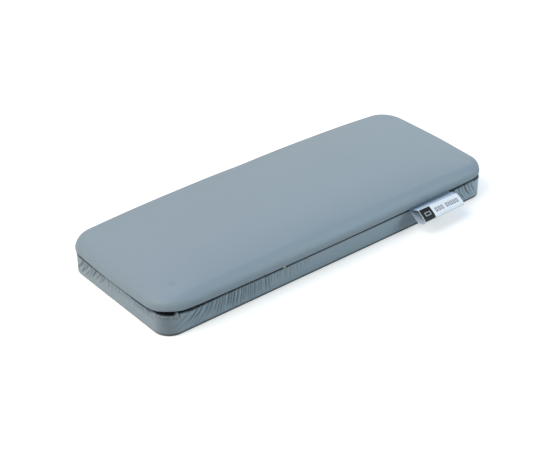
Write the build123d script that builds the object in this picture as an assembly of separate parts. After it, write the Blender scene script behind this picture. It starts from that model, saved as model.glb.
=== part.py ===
from build123d import *
import math
import os

# Upholstered armrest pad: a soft crowned cushion panel fixed on top of a flat upholstered plinth panel.
# Each panel is a rounded board wrapped in one sheet of leatherette. The plinth's sheet comes up from
# below and is stapled on the board's top face; the cushion's sheet comes down over the foam and is
# stapled under its board. The stapled faces meet, with a folded ribbon label clamped in the seam.
#
# Frame: +Z up, X along the length, Y across. Origin at the centre of the underside, which rests on
# z = 0. Millimetres.

os.makedirs("parts", exist_ok=True)

# ---- panels ----------------------------------------------------------------------------------------
SKIN = 1.0                  # leatherette thickness
SEAM_GAP = 0.6              # staple crowns and label tails keep the two panels this far apart
WINDOW_R = 6.0              # corner radius of the opening between the turned-in flanges

PLINTH_L = 340.0            # plinth panel, outside the leatherette
PLINTH_W = 128.5
PLINTH_H = 18.0
PLINTH_R = 14.5             # plan corner radius
PLINTH_BOTTOM_EDGE = 2.0    # edge rounding
PLINTH_TOP_EDGE = 1.6
PLINTH_FLANGE = 24.0        # width of leatherette turned in over the plinth board

CUSHION_L = 350.4           # cushion panel, outside the leatherette, across the middles of its sides
CUSHION_W = 137.2
CUSHION_H = 18.5            # at the top of the crown
CUSHION_R = 20.0
SIDE_BULGE = 3.15           # the long sides bow out between the corners by this much
END_BULGE = 2.75            # and the short sides by this much
CUSHION_BOTTOM_EDGE = 3.8
CUSHION_TOP_EDGE = 7.0
CROWN_ACROSS = 5.0          # how far the top falls from the middle to a long edge
CROWN_ALONG = 2.4           # how far a long edge falls from its middle to its ends
CUSHION_FLANGE = 28.0       # width turned in under the cushion board

PLY_L = 330.0               # plywood board under the foam
PLY_W = 118.0
PLY_T = 6.0
PLY_R = 20.0
PLY_TOP_EDGE = 1.5

WADDING_T = 2.0             # polyester wadding between foam and leatherette
WADDING_LIFT = 2.2          # wadding starts this far above the plywood's underside
FOAM_LIFT = 0.8             # and the foam this far above it

# ---- fasteners, glue and label ---------------------------------------------------------------------
STAPLE_CROWN = 12.8
STAPLE_WIRE_W = 0.95        # wire width, across the crown
STAPLE_WIRE_T = 0.6         # wire thickness
STAPLE_TIP = 0.5            # height of the pointed leg ends
STAPLE_PITCH = 29.0
PLINTH_STAPLE_LEG = 8.0
CUSHION_STAPLE_LEG = 5.6
PLINTH_STAPLE_INSET = 14.0  # from the plinth's sides to the line of staples
CUSHION_STAPLE_INSET = 18.0
PLINTH_STAPLE_R = 8.0       # corner radius of the line of staples
CUSHION_STAPLE_R = 6.0

INSERT_X = 120.0            # M6 threaded inserts, hole to hole
INSERT_Y = 50.0
INSERT_BORE_R = 2.5         # M6 minor radius
INSERT_CORE_R = 4.7         # hole in the board
INSERT_BODY_R = INSERT_CORE_R - 0.05
INSERT_RIDGE_R = 5.2
INSERT_RIDGES = 5
INSERT_RIDGE_Z0 = 2.6       # start of the first ridge
INSERT_RIDGE_H = 1.4
INSERT_RIDGE_PITCH = 1.75
INSERT_FLANGE_R = 6.25
INSERT_FLANGE_T = 1.0
INSERT_LEN = 12.5
INSERT_COVER_R = 4.5        # hole in the leatherette
INSERT_PLACES = [(x, y) for x in (-INSERT_X / 2, INSERT_X / 2) for y in (-INSERT_Y / 2, INSERT_Y / 2)]

SCREW_R = 2.0               # 4 mm countersunk chipboard screw
SCREW_HEAD_R = 3.8
SCREW_LEN = 21.0
SCREW_Z0 = 3.0              # underside of the head, sunk above the rest plane
SCREW_HOLE_R = SCREW_R + 0.2
SCREW_SINK_R = 4.2          # wide end of the countersink
SCREW_SINK_H = 2.0
SCREW_WELL_R = 4.5          # access hole below the head, in the board
SCREW_COVER_R = 4.3         # and in the leatherette
SCREW_PILOT_R = 1.4         # hole in the plywood
SCREW_PLACES = [(x, y) for x in (-126, 0, 126) for y in (-33, 33)]

BEAD_PLACES = [(-110, -18), (-110, 18), (-28, 0), (28, 0), (110, -18), (110, 18)]
BEAD_PROFILE = [(7.0, 0), (7.8, 0.25), (8.1, 0.5), (7.8, 0.75), (7.0, 1)]  # radius, part of height
SEAM_DAB_X, SEAM_DAB_Y = -55.1, -62.5
SEAM_DAB_L, SEAM_DAB_W = 1.6, 4.2
SEAM_DAB_CLEARANCE = 0.02   # above and below the dab

LABEL_X0 = 79.0             # ribbon label, along X
LABEL_W = 46.5
LABEL_T = 0.24              # one ply

# ---- levels ----------------------------------------------------------------------------------------
Z_BOARD0 = SKIN
Z_BOARD1 = PLINTH_H - SKIN
Z_SEAM = PLINTH_H + SEAM_GAP / 2
Z_CUSHION0 = PLINTH_H + SEAM_GAP
Z_CUSHION1 = Z_CUSHION0 + CUSHION_H
Z_PLY0 = Z_CUSHION0 + SKIN

# Centre line of the folded label, (y, z): in along the upper tail, round the loop, back along the lower
LABEL_LINE = [
    (-54.0, Z_SEAM + 0.15), (-58.0, Z_SEAM + 0.15), (-61.5, Z_SEAM + 0.15), (-64.2, Z_SEAM + 0.16),
    (-66.6, Z_SEAM + 0.70), (-68.6, 20.5), (-70.3, 21.9), (-72.4, 22.8),
    (-75.2, 22.8), (-78.2, 21.7), (-81.2, 19.9), (-83.2, 18.1),
    (-83.9, 16.2), (-82.8, 14.4), (-80.4, 13.3), (-77.4, 13.3),
    (-74.2, 14.2), (-71.0, 15.7), (-68.4, 17.1), (-66.4, Z_SEAM - 0.50),
    (-64.0, Z_SEAM - 0.17), (-61.5, Z_SEAM - 0.15), (-58.0, Z_SEAM - 0.15), (-54.0, Z_SEAM - 0.15),
]

ON_BASE = (Align.CENTER, Align.CENTER, Align.MIN)


# ---- shared shapes ---------------------------------------------------------------------------------
def slab(length, width, radius, z0, height):
    """Rounded rectangular slab standing on level z0."""
    return extrude(Plane.XY.offset(z0) * RectangleRounded(length, width, radius), height)


def round_top(solid, radius):
    return fillet(solid.faces().sort_by(Axis.Z)[-1].edges(), radius)


def round_bottom(solid, radius):
    return fillet(solid.faces().sort_by(Axis.Z)[0].edges(), radius)


def disc(radius, z0, z1, x, y):
    return Pos(x, y, z0) * Cylinder(radius, z1 - z0, align=ON_BASE)


def polygon_xz(points):
    return Plane.XZ * make_face(Polyline(*points, close=True))


def turned(points):
    """Solid of revolution about Z from (radius, z) points."""
    return revolve(polygon_xz(points), Axis.Z)


# ---- plinth panel ----------------------------------------------------------------------------------
def plinth_layer(inset):
    """The plinth's shape, inset from the leatherette's outer face."""
    layer = slab(
        PLINTH_L - 2 * inset, PLINTH_W - 2 * inset, PLINTH_R - inset, inset, PLINTH_H - 2 * inset
    )
    layer = round_top(layer, PLINTH_TOP_EDGE - inset)
    return round_bottom(layer, PLINTH_BOTTOM_EDGE - inset)


def make_plinth_cover(core):
    window = slab(
        PLINTH_L - 2 * PLINTH_FLANGE, PLINTH_W - 2 * PLINTH_FLANGE, WINDOW_R, Z_BOARD1 - 0.5, SKIN + 1
    )
    cover = plinth_layer(0) - core - window
    for x, y in INSERT_PLACES:
        cover -= disc(INSERT_COVER_R, -1, SKIN + 0.5, x, y)
    for x, y in SCREW_PLACES:
        cover -= disc(SCREW_COVER_R, -1, SKIN + 0.5, x, y)
    return cover


def make_plinth_board(core):
    board = core
    below = Z_BOARD0 - 0.5
    for x, y in INSERT_PLACES:
        board -= disc(INSERT_CORE_R, below, Z_BOARD0 + INSERT_LEN + 1.0, x, y)
        board -= disc(INSERT_FLANGE_R + 0.2, below, Z_BOARD0 + INSERT_FLANGE_T, x, y)
    for x, y in SCREW_PLACES:
        board -= disc(SCREW_WELL_R, below, SCREW_Z0, x, y)
        board -= Pos(x, y, SCREW_Z0) * Cone(SCREW_SINK_R, SCREW_HOLE_R, SCREW_SINK_H, align=ON_BASE)
        board -= disc(SCREW_HOLE_R, SCREW_Z0 + 1.0, Z_BOARD1 + 1, x, y)
    return board


# ---- cushion panel ---------------------------------------------------------------------------------
def bowed(length, width, radius):
    """Rounded rectangle with bowed sides; length and width are measured across their middles."""
    x, y = length / 2 - END_BULGE, width / 2 - SIDE_BULGE
    face = make_face(
        [
            ThreePointArc((-x, -y), (0, -width / 2), (x, -y)),
            ThreePointArc((x, -y), (length / 2, 0), (x, y)),
            ThreePointArc((x, y), (0, width / 2), (-x, y)),
            ThreePointArc((-x, y), (-length / 2, 0), (-x, -y)),
        ]
    )
    return fillet(face.vertices(), radius)


def crown_point(u, v, peak):
    """Point on the crown; u and v run from -1 to 1 along the length and across the width."""
    # the rise across the width fades out towards the ends, and goes on falling beyond them
    fade = 1 - u**4 if abs(u) < 1 else 1.25 * (1 - abs(u))
    z = peak - CROWN_ACROSS - CROWN_ALONG * u**2 + CROWN_ACROSS * (1 - v**2) * fade
    return Vector(u * CUSHION_L / 2, v * CUSHION_W / 2, z)


def crowned(inset, z0, bottom_edge=0.0):
    """Cushion-shaped slab from z0 up, with a pillow-like crown and a soft shoulder.

    inset is how far this layer lies inside the leatherette's outer face, so nested layers stay parallel.
    """
    peak = Z_CUSHION1 - inset
    # the grid reaches one step past the cushion on every side
    grid = [[crown_point(i / 8, j / 6, peak) for j in range(-7, 8)] for i in range(-9, 10)]
    crown = Face.make_surface_from_array_of_points(grid, tol=0.02)
    under_crown = extrude(crown, amount=40, dir=(0, 0, -1))
    plan = bowed(CUSHION_L - 2 * inset, CUSHION_W - 2 * inset, CUSHION_R - inset)
    layer = extrude(Plane.XY.offset(z0) * plan, peak - z0 + 10) & under_crown
    layer = round_top(layer, CUSHION_TOP_EDGE - inset)
    if bottom_edge:
        layer = round_bottom(layer, bottom_edge)
    return layer


def lowest_layer(height):
    """Block that trims off everything up to this height above the plywood's underside."""
    return Pos(0, 0, Z_PLY0) * Box(400, 200, height, align=ON_BASE)


def make_cushion_cover(core):
    window = slab(
        CUSHION_L - 2 * CUSHION_FLANGE, CUSHION_W - 2 * CUSHION_FLANGE, WINDOW_R,
        Z_CUSHION0 - 0.5, SKIN + 1,
    )
    return crowned(0, Z_CUSHION0, CUSHION_BOTTOM_EDGE) - core - window


def make_cushion_wadding(core):
    """Wadding over the foam and down its sides, ending just above the turned-in leatherette."""
    wadding = core - crowned(SKIN + WADDING_T, Z_PLY0 - 5)
    return wadding - lowest_layer(WADDING_LIFT)


def make_cushion_foam():
    """Foam inside the wadding, wrapping the edges of the plywood."""
    inset = SKIN + WADDING_T
    foam = crowned(inset, Z_PLY0, CUSHION_BOTTOM_EDGE - inset)
    foam -= lowest_layer(FOAM_LIFT)
    return foam - slab(PLY_L, PLY_W, PLY_R, Z_PLY0 - 1, PLY_T + 1)


def make_cushion_board():
    board = round_top(slab(PLY_L, PLY_W, PLY_R, Z_PLY0, PLY_T), PLY_TOP_EDGE)
    for x, y in SCREW_PLACES:
        board -= disc(SCREW_PILOT_R, Z_PLY0 - 1, SCREW_Z0 + SCREW_LEN + 0.3, x, y)
    return board


# ---- fasteners -------------------------------------------------------------------------------------
def perimeter_places(inset, radius, phase=0.0):
    """Evenly spaced locations round a rounded rectangle inset from the plinth, X along the line."""
    length, width = PLINTH_L - 2 * inset, PLINTH_W - 2 * inset
    corner = math.pi * radius / 2
    # per side: length of its straight run, and distance between it and the opposite side
    sides = [(length - 2 * radius, width), (width - 2 * radius, length)] * 2
    total = sum(straight + corner for straight, _ in sides)
    count = round(total / STAPLE_PITCH)
    places = []
    for i in range(count):
        along = ((i + phase) * total / count) % total
        # walk counter-clockwise from the start of the -Y side
        for side, (straight, across) in enumerate(sides):
            if along <= straight + corner:
                break
            along -= straight + corner
        x, y, turn = along - straight / 2, -across / 2, 0.0
        if along > straight:
            turn = 90 * (along - straight) / corner
            x = straight / 2 + radius * math.sin(math.radians(turn))
            y += radius * (1 - math.cos(math.radians(turn)))
        places.append(Rot(0, 0, 90 * side) * Pos(x, y, 0) * Rot(0, 0, turn))
    return places


def staple(leg, up):
    """Staple with its crown along X, filling z 0 to the wire's thickness; legs point up or down."""
    outer, wire = STAPLE_CROWN / 2, STAPLE_WIRE_T
    inner, middle, shoulder = outer - wire, outer - wire / 2, leg - STAPLE_TIP
    points = [
        (-outer, 0), (outer, 0), (outer, shoulder), (middle, leg), (inner, shoulder), (inner, wire),
        (-inner, wire), (-inner, shoulder), (-middle, leg), (-outer, shoulder),
    ]
    body = extrude(polygon_xz(points), STAPLE_WIRE_W / 2, both=True)
    return body if up else Pos(0, 0, wire) * Rot(180, 0, 0) * body


def staple_ring(places, leg, up):
    return [Pos(0, 0, PLINTH_H) * place * staple(leg, up) for place in places]


def screw(x, y):
    """Countersunk screw, head down, driven up through the plinth board into the plywood."""
    body = turned([
        (0, 0), (SCREW_HEAD_R - 0.1, 0), (SCREW_HEAD_R, 0.15), (SCREW_R, 1.95),
        (SCREW_R, SCREW_LEN - 3.2), (0.25, SCREW_LEN), (0, SCREW_LEN),
    ])
    # cross recess
    for angle in (0, 90):
        body -= Rot(0, 0, angle) * Box(4.2, 0.9, 1.5, align=ON_BASE)
    return Pos(x, y, SCREW_Z0) * Rot(0, 0, 37 + x * 0.9 + y) * body


def insert(x, y):
    """Flanged M6 insert with anchoring ridges and two drive notches in the flange's rim."""
    points = [
        (INSERT_BORE_R, 0), (INSERT_FLANGE_R, 0),
        (INSERT_FLANGE_R, INSERT_FLANGE_T), (INSERT_BODY_R, INSERT_FLANGE_T),
    ]
    for i in range(INSERT_RIDGES):
        z = INSERT_RIDGE_Z0 + i * INSERT_RIDGE_PITCH
        points += [
            (INSERT_BODY_R, z),
            (INSERT_RIDGE_R, z + INSERT_RIDGE_H / 2),
            (INSERT_BODY_R, z + INSERT_RIDGE_H),
        ]
    points += [
        (INSERT_BODY_R, INSERT_LEN - 0.8), (INSERT_CORE_R - 0.8, INSERT_LEN),
        (INSERT_BORE_R, INSERT_LEN),
    ]
    body = turned(points)
    for side in (-1, 1):
        body -= Pos(side * INSERT_FLANGE_R, 0, 0) * Box(2.6, 2.0, 1.6)
    return Pos(x, y, Z_BOARD0) * Rot(0, 0, 20 + x + y) * body


# ---- adhesive and label ----------------------------------------------------------------------------
def make_adhesive():
    """Hot-melt beads bridging the two boards, and one small dab out in the seam."""
    height = Z_PLY0 - Z_BOARD1
    rim = [(radius, part * height) for radius, part in BEAD_PROFILE]
    bead = [(0, 0), *rim, (0, height)]
    beads = [Pos(x, y, Z_BOARD1) * turned(bead) for x, y in BEAD_PLACES]
    dab = Box(SEAM_DAB_L, SEAM_DAB_W, SEAM_GAP - 2 * SEAM_DAB_CLEARANCE, align=ON_BASE)
    beads.append(Pos(SEAM_DAB_X, SEAM_DAB_Y, PLINTH_H + SEAM_DAB_CLEARANCE) * dab)
    return beads


def ribbon(line, thickness):
    """Face of a strip that follows a line, between its two offset curves."""
    left, right = [], []
    for i, (y, z) in enumerate(line):
        y0, z0 = line[max(i - 1, 0)]
        y1, z1 = line[min(i + 1, len(line) - 1)]
        scale = thickness / 2 / math.hypot(y1 - y0, z1 - z0)
        offset_y, offset_z = -(z1 - z0) * scale, (y1 - y0) * scale
        left.append((y + offset_y, z + offset_z))
        right.append((y - offset_y, z - offset_z))
    return make_face([Spline(*left), Line(left[-1], right[-1]), Spline(*right), Line(right[0], left[0])])


def make_label():
    """Ribbon folded on itself: both tails lie in the seam, and the fold stands out on the -Y side."""
    return Pos(LABEL_X0, 0, 0) * extrude(Plane.YZ * ribbon(LABEL_LINE, LABEL_T), LABEL_W)


# ---- write -----------------------------------------------------------------------------------------
plinth_core = plinth_layer(SKIN)
cushion_core = crowned(SKIN, Z_PLY0, CUSHION_BOTTOM_EDGE - SKIN)
plinth_line = perimeter_places(PLINTH_STAPLE_INSET, PLINTH_STAPLE_R)
cushion_line = perimeter_places(CUSHION_STAPLE_INSET, CUSHION_STAPLE_R, phase=0.5)

PARTS = {
    "plinth_cover": make_plinth_cover(plinth_core),
    "plinth_board": make_plinth_board(plinth_core),
    "plinth_staples": Compound(children=staple_ring(plinth_line, PLINTH_STAPLE_LEG, up=False)),
    "cushion_cover": make_cushion_cover(cushion_core),
    "cushion_wadding": make_cushion_wadding(cushion_core),
    "cushion_foam": make_cushion_foam(),
    "cushion_board": make_cushion_board(),
    "cushion_staples": Compound(children=staple_ring(cushion_line, CUSHION_STAPLE_LEG, up=True)),
    "joining_screws": Compound(children=[screw(x, y) for x, y in SCREW_PLACES]),
    "threaded_inserts": Compound(children=[insert(x, y) for x, y in INSERT_PLACES]),
    "adhesive_beads": Compound(children=make_adhesive()),
    "ribbon_label": make_label(),
}
for name, shape in PARTS.items():
    export_step(shape, f"parts/{name}.step")
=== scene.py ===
import math
from functools import cached_property

import bmesh
import bpy
import numpy as np
from mathutils import Matrix, Vector
from mathutils.geometry import delaunay_2d_cdt


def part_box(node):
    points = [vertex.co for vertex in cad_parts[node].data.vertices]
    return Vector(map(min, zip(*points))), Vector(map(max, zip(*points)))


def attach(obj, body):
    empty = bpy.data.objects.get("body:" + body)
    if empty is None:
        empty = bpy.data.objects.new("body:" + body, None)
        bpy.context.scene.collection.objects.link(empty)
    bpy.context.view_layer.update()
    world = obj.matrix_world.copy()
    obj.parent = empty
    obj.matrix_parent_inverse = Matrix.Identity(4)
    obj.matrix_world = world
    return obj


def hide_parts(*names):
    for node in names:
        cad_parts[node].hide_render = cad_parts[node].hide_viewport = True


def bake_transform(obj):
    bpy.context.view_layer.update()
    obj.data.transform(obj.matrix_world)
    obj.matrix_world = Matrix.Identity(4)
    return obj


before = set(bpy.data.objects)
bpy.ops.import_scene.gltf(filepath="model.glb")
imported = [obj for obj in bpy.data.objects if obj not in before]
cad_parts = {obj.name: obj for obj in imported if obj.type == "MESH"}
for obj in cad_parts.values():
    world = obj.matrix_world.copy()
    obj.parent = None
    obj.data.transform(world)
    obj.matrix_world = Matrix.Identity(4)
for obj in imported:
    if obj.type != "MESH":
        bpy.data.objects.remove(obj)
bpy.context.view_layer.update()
MM = 0.001


def node_box(node):
    """Lower and upper corner of a CAD node, in mm."""
    return [np.array(corner) * 1000 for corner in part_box(node)]


# The pieces are worked out in millimetres, from the CAD nodes' own boxes.
plinth_lo, plinth_hi = node_box("plinth_cover")
cushion_lo, cushion_hi = node_box("cushion_cover")
board_lo, board_hi = node_box("cushion_board")
label_lo, label_hi = node_box("ribbon_label")
PLINTH_L, PLINTH_W, PLINTH_H = plinth_hi - plinth_lo
CUSHION_L, CUSHION_W = (cushion_hi - cushion_lo)[:2]
CUSHION_Z0, CUSHION_Z1 = cushion_lo[2], cushion_hi[2]
LABEL_X0, LABEL_X1 = label_lo[0], label_hi[0]
SKIN = 0.95                     # thickness of the leatherette
CROWN_X = -4.7                  # where along X the long sides bow out furthest
DIMPLE_X, DIMPLE_Y = -149.50, -46.00


# ---------------------------------------------------------------------------- shaping functions
def smooth(low, high, x):
    """Smooth step from 0 at low to 1 at high."""
    t = np.clip((x - low) / (high - low), 0, 1)
    return t * t * (3 - 2 * t)


def bell(distance, width):
    return np.exp(-((distance / width) ** 2))


def hump(x, y, centre_x, centre_y, width_x, width_y):
    return np.exp(-(((x - centre_x) / width_x) ** 2 + ((y - centre_y) / width_y) ** 2))


def arch(t):
    """Parabola, 1 at t = 0 and 0 from t = 1 outwards."""
    return np.clip(1 - t**2, 0, 1)


def wander(x, seed):
    """Smooth repeatable one-dimensional noise in about -1..1, in three octaves."""
    r = np.random.default_rng(seed)
    out = np.zeros_like(x, dtype=float)
    for k in range(3):
        for _ in range(3):
            rate = r.uniform(0.7, 1.3)
            out += np.sin(x * (1.7**k) * rate + r.uniform(0, 6.28)) / (3 * 1.6**k)
    return out


# ---------------------------------------------------------------------------- mesh helpers
def ring(length, width, radius, inset, counts):
    """Points and outward normals of a rounded rectangle, from the near left straight end round
    to the right. The columns keep their segment and fraction at every inset."""
    n_long, n_arc, n_short = counts
    r = max(radius - inset, 0.8)
    half_x, half_y = length / 2 - inset - r, width / 2 - inset - r
    points, normals = [], []
    for side, normal in enumerate(((0.0, -1.0), (1.0, 0.0), (0.0, 1.0), (-1.0, 0.0))):
        tangent = np.array([-normal[1], normal[0]])
        normal = np.array(normal)
        is_long = side % 2 == 0
        run, away, count = (half_x, half_y, n_long) if is_long else (half_y, half_x, n_short)
        along = 2 * (np.arange(count) / count) - 1
        points.append(np.outer(along * run, tangent) + normal * (away + r))
        normals.append(np.tile(normal, (count, 1)))
        angle = np.radians(90 * side - 90 + 90 * (np.arange(n_arc) / n_arc))
        turn = np.c_[np.cos(angle), np.sin(angle)]
        points.append(tangent * run + normal * away + r * turn)
        normals.append(turn)
    return np.concatenate(points), np.concatenate(normals)


def strip_faces(rows, cols):
    """Quads between consecutive closed rows of a grid."""
    i = np.arange(cols)
    j = (i + 1) % cols
    starts = [k * cols for k in range(rows - 1)]
    return list(np.concatenate([np.c_[s + i, s + j, s + cols + j, s + cols + i] for s in starts]))


def shade_smooth(o):
    o.data.polygons.foreach_set("use_smooth", [True] * len(o.data.polygons))


def make_object(name, verts, faces):
    me = bpy.data.meshes.new(name)
    corners = [tuple(int(i) for i in f) for f in faces]
    me.from_pydata([tuple(v) for v in np.asarray(verts) * MM], [], corners)
    me.validate()
    me.update()
    o = bpy.data.objects.new(name, me)
    bpy.context.scene.collection.objects.link(o)
    shade_smooth(o)
    return o


def read_vertices(mesh, what):
    out = np.zeros(len(mesh.vertices) * 3, np.float32)
    mesh.vertices.foreach_get(what, out)
    return out.reshape(-1, 3).astype(float)


def coords(o):
    return read_vertices(o.data, "co") * 1000


def vertex_normals(o):
    return read_vertices(o.data, "normal")


def set_coords(o, co):
    o.data.vertices.foreach_set("co", (np.asarray(co) * MM).astype(np.float32).ravel())
    o.data.update()


def add_attribute(o, name, values):
    at = o.data.attributes.new(name, "FLOAT", "POINT")
    at.data.foreach_set("value", np.asarray(values, np.float32).ravel())


def apply_modifiers(o):
    bpy.context.view_layer.update()
    dg = bpy.context.evaluated_depsgraph_get()
    me = bpy.data.meshes.new_from_object(
        o.evaluated_get(dg), preserve_all_data_layers=True, depsgraph=dg
    )
    old = o.data
    o.modifiers.clear()
    o.data = me
    bpy.data.meshes.remove(old)


def face_outwards(o, axis, sign):
    """Makes the normals consistent, and outward at the vertex furthest along sign * axis."""
    bm = bmesh.new()
    bm.from_mesh(o.data)
    bmesh.ops.recalc_face_normals(bm, faces=bm.faces)
    bm.to_mesh(o.data)
    bm.free()
    o.data.update()
    furthest = np.argmax(sign * coords(o)[:, axis])
    if vertex_normals(o)[furthest][axis] * sign < 0:
        o.data.flip_normals()


def thicken(o, thickness, offset=-1):
    """Turns an open sheet into a closed skin: offset -1 grows it inwards, 0 both ways."""
    m = o.modifiers.new("skin", "SOLIDIFY")
    m.thickness = thickness * MM
    m.offset = offset
    m.use_even_offset = False
    m.use_rim = True
    apply_modifiers(o)


# ---------------------------------------------------------------------------- material helpers
INPUTS = {
    "color": "Base Color", "rough": "Roughness", "metal": "Metallic",
    "spec": "Specular IOR Level", "normal": "Normal", "aniso": "Anisotropic",
    "sheen": "Sheen Weight", "sheen_rough": "Sheen Roughness",
    "sub": "Subsurface Weight", "sub_scale": "Subsurface Scale",
    "glow": "Emission Color", "glow_strength": "Emission Strength",
}


def scaled(colour, factor):
    return tuple(v * factor for v in colour)


class Nodes:
    """Shorthand for building a node material. A value may be a number, a colour or a socket."""

    def __init__(self, name):
        self.m = bpy.data.materials.new(name)
        self.m.use_nodes = True
        self.tree = self.m.node_tree
        self.tree.nodes.clear()
        out = self.new("ShaderNodeOutputMaterial")
        self.shader = self.new("ShaderNodeBsdfPrincipled")
        self.feed(out.inputs["Surface"], self.shader.outputs[0])

    @cached_property
    def co(self):
        return self.new("ShaderNodeTexCoord").outputs["Object"]

    @cached_property
    def xyz(self):
        return self.new("ShaderNodeSeparateXYZ", {0: self.co}).outputs

    def feed(self, socket, value):
        if isinstance(value, bpy.types.NodeSocket):
            self.tree.links.new(value, socket)
        elif socket.type == "RGBA":
            socket.default_value = (*value, 1)
        else:
            socket.default_value = value

    def new(self, kind, inputs=None, **props):
        n = self.tree.nodes.new(kind)
        for key, value in props.items():
            setattr(n, key, value)
        for key, value in (inputs or {}).items():
            self.feed(n.inputs[key], value)
        return n

    def mapped(self, scale):
        return self.new("ShaderNodeMapping", {"Scale": scale, "Vector": self.co}).outputs[0]

    def attribute(self, name):
        return self.new("ShaderNodeAttribute", attribute_name=name).outputs["Fac"]

    def noise(self, scale, detail, rough=0.5, vec=None, distortion=0.0):
        inputs = {"Scale": scale, "Detail": detail, "Roughness": rough,
                  "Distortion": distortion, "Vector": vec or self.co}
        return self.new("ShaderNodeTexNoise", inputs).outputs["Fac"]

    def voronoi(self, scale, feature="F1"):
        inputs = {"Scale": scale, "Vector": self.co}
        return self.new("ShaderNodeTexVoronoi", inputs, feature=feature).outputs["Distance"]

    def wave(self, scale, direction, vec=None):
        inputs = {"Scale": scale, "Vector": vec or self.co}
        return self.new("ShaderNodeTexWave", inputs, bands_direction=direction).outputs["Fac"]

    def math(self, op, *values, clamp=False):
        inputs = dict(enumerate(values))
        return self.new("ShaderNodeMath", inputs, operation=op, use_clamp=clamp).outputs[0]

    def mul(self, a, b, clamp=False):
        return self.math("MULTIPLY", a, b, clamp=clamp)

    def add(self, a, b):
        return self.math("ADD", a, b)

    def sub(self, a, b, clamp=False):
        return self.math("SUBTRACT", a, b, clamp=clamp)

    def ramp(self, fac, *stops):
        """A linear ramp between two stops, each a position and a colour."""
        n = self.new("ShaderNodeValToRGB", {"Fac": fac})
        for element, (position, colour) in zip(n.color_ramp.elements, stops):
            element.position = position
            element.color = (*colour, 1)
        return n.outputs["Color"]

    def fit(self, value, to, over=(0.0, 1.0)):
        """Maps the interval over onto the interval to, clamped."""
        inputs = {"Value": value, "From Min": over[0], "From Max": over[1],
                  "To Min": to[0], "To Max": to[1]}
        return self.new("ShaderNodeMapRange", inputs).outputs["Result"]

    def mix(self, fac, a, b):
        n = self.new("ShaderNodeMix", {0: fac}, data_type="RGBA")
        for socket, value in zip([i for i in n.inputs if i.type == "RGBA"], (a, b)):
            self.feed(socket, value)
        return [o for o in n.outputs if o.type == "RGBA"][0]

    def bump(self, height, strength, distance):
        inputs = {"Strength": strength, "Distance": distance, "Height": height}
        return self.new("ShaderNodeBump", inputs).outputs[0]

    def set(self, **values):
        for key, value in values.items():
            self.feed(self.shader.inputs[INPUTS[key]], value)


# ---------------------------------------------------------------------------- materials
LEATHER = (0.217, 0.274, 0.322)


def leatherette(name, tone, grain, seam=None, dimple_shade_ring=None):
    """tone scales the colour and grain the relief. The mesh attribute of painted shade darkens it.
    seam paints shade low down, fading out with height: z at full shade, z at no shade, strength.
    pressed paints a ring of shade round the dimple in plan: x, y, radius, half width, strength. Both
    in mm."""
    n = Nodes(name)
    c = scaled(LEATHER, tone)
    broad = n.noise(scale=9.0, detail=2.0)
    fine = n.noise(scale=1400.0, detail=2.0)
    pores = n.voronoi(scale=1500.0)
    creases = n.voronoi(scale=620.0, feature="DISTANCE_TO_EDGE")
    patches = n.fit(broad, over=(0.3, 0.7), to=(0.0, 1.0))
    base = n.mix(patches, scaled(c, 0.985), scaled(c, 1.02))
    valley = n.fit(creases, over=(0.0, 0.14), to=(1.0, 0.0))
    base = n.mix(n.mul(valley, 0.05), base, scaled(c, 0.6))
    # painted shade: the colour darkens low down, towards the seam
    if seam:
        z_full, z_none, strength = seam
        shade = n.fit(n.xyz[2], over=(z_full * MM, z_none * MM), to=(strength, 0.0))
        base = n.mix(shade, base, scaled(c, 0.12))
    # painted shade from the mesh attribute, darkening towards near black
    base = n.mix(n.attribute("painted_shade"), base, scaled(c, 0.05))
    # painted shade: a dark ring round the dimple
    if dimple_shade_ring:
        x, y, radius, half_width, strength = dimple_shade_ring
        dx = n.sub(n.xyz[0], x * MM)
        dy = n.sub(n.xyz[1], y * MM)
        far = n.math("POWER", n.add(n.mul(dx, dx), n.mul(dy, dy)), 0.5)
        off = n.math("ABSOLUTE", n.sub(far, radius * MM))
        shade = n.fit(off, over=(0.0, half_width * MM), to=(strength, 0.0))
        base = n.mix(shade, base, scaled(c, 0.10))
    plates = n.fit(creases, over=(0.0, 0.16), to=(0.0, 1.0))
    height = n.add(n.add(n.mul(plates, 0.7), n.mul(pores, 0.3)), n.mul(fine, 0.25))
    n.set(
        color=base,
        rough=n.fit(n.noise(scale=260.0, detail=3.0), to=(0.50, 0.60)),
        normal=n.bump(height, strength=0.28 * grain, distance=0.00010 * grain),
        spec=0.42, sheen=0.05, sheen_rough=0.5,
    )
    return n.m


def fibreboard(name):
    n = Nodes(name)
    fibres = n.noise(scale=420.0, detail=5.0, rough=0.7, vec=n.mapped((1, 1, 3)))
    c = n.ramp(fibres, (0.3, (0.33, 0.22, 0.12)), (0.7, (0.50, 0.37, 0.23)))
    n.set(color=c, rough=0.85, spec=0.15, normal=n.bump(fibres, strength=0.35, distance=0.0002))
    return n.m


def plywood(name):
    n = Nodes(name)
    along = n.mapped((0.25, 6, 6))
    grain = n.noise(scale=70.0, detail=5.0, rough=0.6, vec=along, distortion=0.6)
    plies = n.wave(scale=165.0, direction="Z")
    c = n.ramp(grain, (0.25, (0.50, 0.34, 0.19)), (0.75, (0.72, 0.56, 0.36)))
    c = n.mix(n.mul(plies, 0.3), c, (0.42, 0.28, 0.16))
    n.set(color=c, rough=0.72, spec=0.2, normal=n.bump(grain, strength=0.3, distance=0.0002))
    return n.m


def foam(name):
    n = Nodes(name)
    cells = n.voronoi(scale=900.0)
    c = n.mix(n.noise(scale=40.0, detail=2.0), (0.86, 0.80, 0.60), (0.80, 0.73, 0.50))
    c = n.mix(n.fit(cells, over=(0.0, 0.5), to=(0.5, 0.0)), c, (0.55, 0.48, 0.30))
    n.set(color=c, rough=0.95, spec=0.1, sub=0.15, sub_scale=0.002,
          normal=n.bump(cells, strength=0.7, distance=0.0005))
    return n.m


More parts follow.
